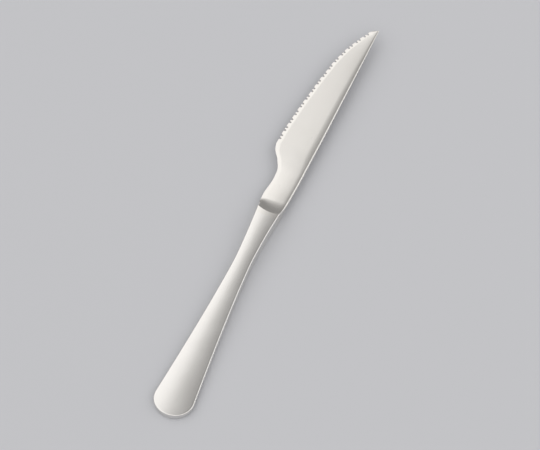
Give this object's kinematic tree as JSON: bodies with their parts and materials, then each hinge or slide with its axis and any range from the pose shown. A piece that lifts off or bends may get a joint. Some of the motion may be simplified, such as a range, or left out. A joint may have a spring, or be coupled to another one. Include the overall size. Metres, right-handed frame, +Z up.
{
  "type": "meat knife",
  "caption": "Table knife for meat: serrated steel blade with a pointed belly, forged bolster, and a hollow flat handle that widens to a round butt.",
  "frame": {"origin": "middle of the bounding box in X and Y, on the table plane under the handle", "axes": "+X from the butt to the tip, +Y towards the cutting edge, +Z up from the table through the face with the ground flutes"},
  "size_m": [0.2252, 0.021, 0.0071],
  "materials": {
    "blade_steel": "fine satin polish, hardened 13 % chromium stainless steel",
    "handle_steel": "fine satin polish, 18-8 stainless sheet",
    "cement": "dull grey filled resin",
    "solder": "dull cast tin-silver solder"
  },
  "bodies": {
    "root": {"blade": "blade_steel", "upper_handle_shell": "handle_steel", "lower_handle_shell": "handle_steel", "tang_cement": "cement", "seam_solder": "solder"}
  },
  "joints": []
}
